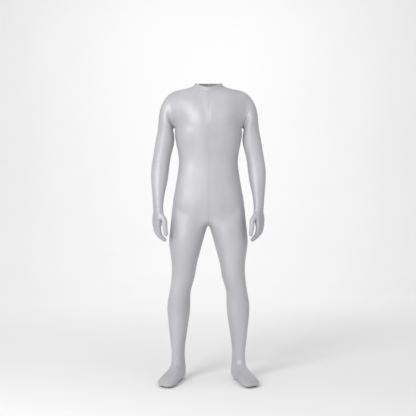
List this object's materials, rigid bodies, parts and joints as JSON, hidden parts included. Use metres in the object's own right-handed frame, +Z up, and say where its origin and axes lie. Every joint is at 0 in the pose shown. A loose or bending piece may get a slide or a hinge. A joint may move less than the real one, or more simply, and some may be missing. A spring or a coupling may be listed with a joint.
{
  "type": "dance jumpsuit",
  "caption": "Full-body stretch dance jumpsuit with crew neck, long sleeves, sewn gloves and feet, worn standing and hollow.",
  "frame": {"origin": "midway between the wearer's shoulder points, at shoulder level, where the wearer holds the suit up", "axes": "+Z up, -Y the way the wearer faces, +X the wearer's left"},
  "size_m": [0.576, 0.3147, 1.5],
  "materials": {
    "silver_knit": "silver grey nylon and elastane tricot with a soft satin sheen",
    "zip_tape": "grey woven zip tape with a nylon coil",
    "zip_metal": "satin nickel-coloured slider and pull tab"
  },
  "bodies": {
    "suit": {"front_left": "silver_knit", "front_right": "silver_knit", "back_left": "silver_knit", "back_right": "silver_knit", "collar": "silver_knit", "sleeve_left": "silver_knit", "sleeve_right": "silver_knit", "glove_back_left": "silver_knit", "glove_back_right": "silver_knit", "glove_palm_left": "silver_knit", "glove_palm_right": "silver_knit", "zip_tape": "zip_tape", "zip_slider": "zip_metal"},
    "pull": {"zip_pull": "zip_metal"}
  },
  "joints": [
    {"name": "pull_swing", "type": "hinge", "parent": "suit", "child": "pull", "pos_m": [0, 0.07275, 0.05956], "axis": [1, 0, 0], "range_deg": [0, 150]}
  ]
}
